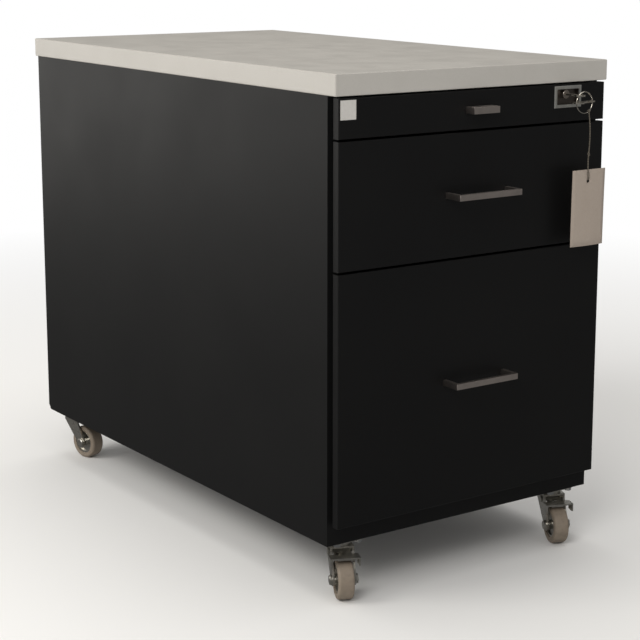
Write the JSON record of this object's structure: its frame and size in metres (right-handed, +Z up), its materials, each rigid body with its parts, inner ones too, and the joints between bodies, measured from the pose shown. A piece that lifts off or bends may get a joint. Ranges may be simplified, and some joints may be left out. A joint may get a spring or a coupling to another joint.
{
  "type": "metal filing cabinet",
  "caption": "Low mobile drawer pedestal: black steel carcass on swivel casters, pale laminate top, drawers on telescopic rails, bar handles, lock with key ring and blank tag.",
  "frame": {"origin": "on the floor, under the centre of the object's box", "axes": "+X to the right seen from the front, +Y to the back, +Z up"},
  "size_m": [0.43, 0.823, 0.6523],
  "materials": {
    "slab_laminate": "matt off-white laminate over a chipboard core",
    "powder_black": "semi-gloss fine-textured powder coat",
    "inner_grey_metal": "matt powder coat",
    "zinc_steel": "bright zinc-plated",
    "handle_steel": "brushed nickel",
    "lock_silver": "satin die-cast",
    "key_nickel": "polished nickel plate, lightly worn",
    "tray_plastic": "moulded matt",
    "sticker_white": "blank paper label",
    "twine": "twisted natural twine",
    "card": "uncoated card",
    "caster_zinc": "dull zinc-plated pressed steel",
    "tyre_rubber": "matt grey-beige soft rubber"
  },
  "bodies": {
    "carcass": {"top_slab": "slab_laminate", "slab_screws": "zinc_steel", "left_side_panel": "powder_black", "right_side_panel": "powder_black", "back_panel": "powder_black", "bottom_panel": "powder_black", "front_base_rail": "powder_black", "top_cross_rails": "inner_grey_metal", "slide_posts": "inner_grey_metal", "cabinet_rails": "zinc_steel", "locking_bar_guides": "zinc_steel", "caster_plates": "caster_zinc", "caster_bolts": "caster_zinc"},
    "locking_bar": {"locking_bar": "zinc_steel"},
    "top_drawer": {"top_drawer_front": "powder_black", "top_drawer_box": "inner_grey_metal", "top_drawer_rails": "zinc_steel", "top_drawer_pull": "handle_steel", "pencil_tray": "tray_plastic", "lock_bezel": "lock_silver", "lock_housing": "lock_silver", "label_sticker": "sticker_white"},
    "lock_slider": {"lock_slider": "zinc_steel"},
    "key": {"lock_cylinder": "key_nickel", "key": "key_nickel", "lock_cam": "zinc_steel"},
    "key_ring": {"key_ring": "key_nickel", "spare_key": "key_nickel", "tag_string": "twine", "tag": "card"},
    "middle_drawer": {"middle_drawer_front": "powder_black", "middle_drawer_box": "inner_grey_metal", "middle_drawer_rails": "zinc_steel", "middle_drawer_handle": "handle_steel"},
    "middle_intermediate": {"middle_intermediate_rails": "zinc_steel"},
    "bottom_drawer": {"bottom_drawer_front": "powder_black", "bottom_drawer_box": "inner_grey_metal", "bottom_drawer_rails": "zinc_steel", "bottom_drawer_handle": "handle_steel", "hanging_file_rails": "zinc_steel"},
    "bottom_intermediate": {"bottom_intermediate_rails": "zinc_steel"},
    "front_left_fork": {"front_left_fork": "caster_zinc", "front_left_axle": "caster_zinc"},
    "front_left_wheel": {"front_left_wheel_hub": "caster_zinc", "front_left_tyre": "tyre_rubber"},
    "front_left_brake": {"front_left_brake_pedal": "caster_zinc"},
    "front_right_fork": {"front_right_fork": "caster_zinc", "front_right_axle": "caster_zinc"},
    "front_right_wheel": {"front_right_wheel_hub": "caster_zinc", "front_right_tyre": "tyre_rubber"},
    "front_right_brake": {"front_right_brake_pedal": "caster_zinc"},
    "back_left_fork": {"back_left_fork": "caster_zinc", "back_left_axle": "caster_zinc"},
    "back_left_wheel": {"back_left_wheel_hub": "caster_zinc", "back_left_tyre": "tyre_rubber"},
    "back_right_fork": {"back_right_fork": "caster_zinc", "back_right_axle": "caster_zinc"},
    "back_right_wheel": {"back_right_wheel_hub": "caster_zinc", "back_right_tyre": "tyre_rubber"}
  },
  "joints": [
    {"name": "top_drawer_slide", "type": "slide", "parent": "carcass", "child": "top_drawer", "axis": [0, -1, 0], "range_m": [0, 0.45]},
    {"name": "middle_drawer_slide", "type": "slide", "parent": "carcass", "child": "middle_drawer", "axis": [0, -1, 0], "range_m": [0, 0.62], "deforming": ["tag_string", "tag"]},
    {"name": "middle_intermediate_slide", "type": "slide", "parent": "carcass", "child": "middle_intermediate", "axis": [0, -1, 0], "range_m": [0, 0.31]},
    {"name": "bottom_drawer_slide", "type": "slide", "parent": "carcass", "child": "bottom_drawer", "axis": [0, -1, 0], "range_m": [0, 0.68]},
    {"name": "bottom_intermediate_slide", "type": "slide", "parent": "carcass", "child": "bottom_intermediate", "axis": [0, -1, 0], "range_m": [0, 0.34]},
    {"name": "key_turn", "type": "hinge", "parent": "top_drawer", "child": "key", "pos_m": [0.144, -0.3793, 0.611], "axis": [0, 1, 0], "range_deg": [0, 90]},
    {"name": "lock_slide", "type": "slide", "parent": "top_drawer", "child": "lock_slider", "axis": [1, 0, 0], "range_m": [0, 0.0086]},
    {"name": "locking_bar_drop", "type": "slide", "parent": "carcass", "child": "locking_bar", "axis": [0, 0, -1], "range_m": [0, 0.0061]},
    {"name": "key_ring_swing", "type": "hinge", "parent": "top_drawer", "child": "key_ring", "pos_m": [0.144, -0.4039, 0.611], "axis": [0, 1, 0], "range_deg": [-15, 10]},
    {"name": "front_left_swivel", "type": "hinge", "parent": "carcass", "child": "front_left_fork", "pos_m": [-0.1765, -0.3365, 0.0645], "axis": [0, 0, 1], "continuous": true},
    {"name": "front_left_roll", "type": "hinge", "parent": "front_left_fork", "child": "front_left_wheel", "pos_m": [-0.18554, -0.35656, 0.025], "axis": [0.9117, -0.4108, 0], "continuous": true},
    {"name": "front_left_brake_lift", "type": "hinge", "parent": "front_left_fork", "child": "front_left_brake", "pos_m": [-0.17773, -0.33924, 0.056], "axis": [-0.9117, 0.4108, 0], "range_deg": [0, 15]},
    {"name": "front_right_swivel", "type": "hinge", "parent": "carcass", "child": "front_right_fork", "pos_m": [0.1765, -0.3365, 0.0645], "axis": [0, 0, 1], "continuous": true},
    {"name": "front_right_roll", "type": "hinge", "parent": "front_right_fork", "child": "front_right_wheel", "pos_m": [0.16837, -0.35694, 0.025], "axis": [0.9292, -0.3697, 0], "continuous": true},
    {"name": "front_right_brake_lift", "type": "hinge", "parent": "front_right_fork", "child": "front_right_brake", "pos_m": [0.17539, -0.33929, 0.056], "axis": [-0.9292, 0.3697, 0], "range_deg": [0, 15]},
    {"name": "back_left_swivel", "type": "hinge", "parent": "carcass", "child": "back_left_fork", "pos_m": [-0.1765, 0.3785, 0.0645], "axis": [0, 0, 1], "continuous": true},
    {"name": "back_left_roll", "type": "hinge", "parent": "back_left_fork", "child": "back_left_wheel", "pos_m": [-0.17133, 0.35712, 0.025], "axis": [0.972, 0.235, 0], "continuous": true},
    {"name": "back_right_swivel", "type": "hinge", "parent": "carcass", "child": "back_right_fork", "pos_m": [0.1765, 0.3785, 0.0645], "axis": [0, 0, 1], "continuous": true},
    {"name": "back_right_roll", "type": "hinge", "parent": "back_right_fork", "child": "back_right_wheel", "pos_m": [0.18332, 0.35758, 0.025], "axis": [0.9508, 0.3099, 0], "continuous": true}
  ],
  "couplings": [
    {"joint": "middle_intermediate_slide", "follows": "middle_drawer_slide", "ratio": 0.5},
    {"joint": "bottom_intermediate_slide", "follows": "bottom_drawer_slide", "ratio": 0.5},
    {"joint": "lock_slide", "follows": "key_turn", "m_per_rad": 0.0054019},
    {"joint": "locking_bar_drop", "follows": "key_turn", "m_per_rad": 0.0038197}
  ]
}
